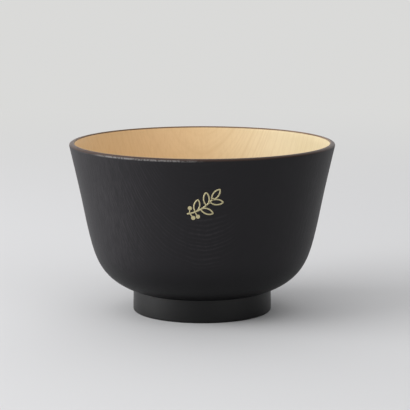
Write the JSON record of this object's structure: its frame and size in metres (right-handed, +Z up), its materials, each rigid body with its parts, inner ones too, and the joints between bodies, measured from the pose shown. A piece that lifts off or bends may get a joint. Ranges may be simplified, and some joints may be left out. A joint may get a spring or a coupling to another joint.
{
  "type": "footed soup bowl",
  "caption": "Turned wooden soup bowl on a glued foot ring, black lacquered outside with a small gold sprig print and clear finished inside.",
  "frame": {"origin": "on the table, under the middle of the foot", "axes": "+Z up along the axis the bowl is turned about; the printed front faces -Y"},
  "size_m": [0.112, 0.112, 0.072],
  "materials": {
    "turned_wood": "fine turned pale wood, growth rings showing as soft lines",
    "glue": "set wood glue, hidden in the joint",
    "black_lacquer": "satin black, the grain of the wood showing through faintly on the wall",
    "clear_finish": "clear satin over the bare wood",
    "gold_ink": "flat pale gold print"
  },
  "bodies": {
    "root": {"wooden_bowl": "turned_wood", "foot_ring": "turned_wood", "foot_glue": "glue", "body_lacquer": "black_lacquer", "foot_lacquer": "black_lacquer", "well_finish": "clear_finish", "printed_sprig": "gold_ink"}
  },
  "joints": []
}
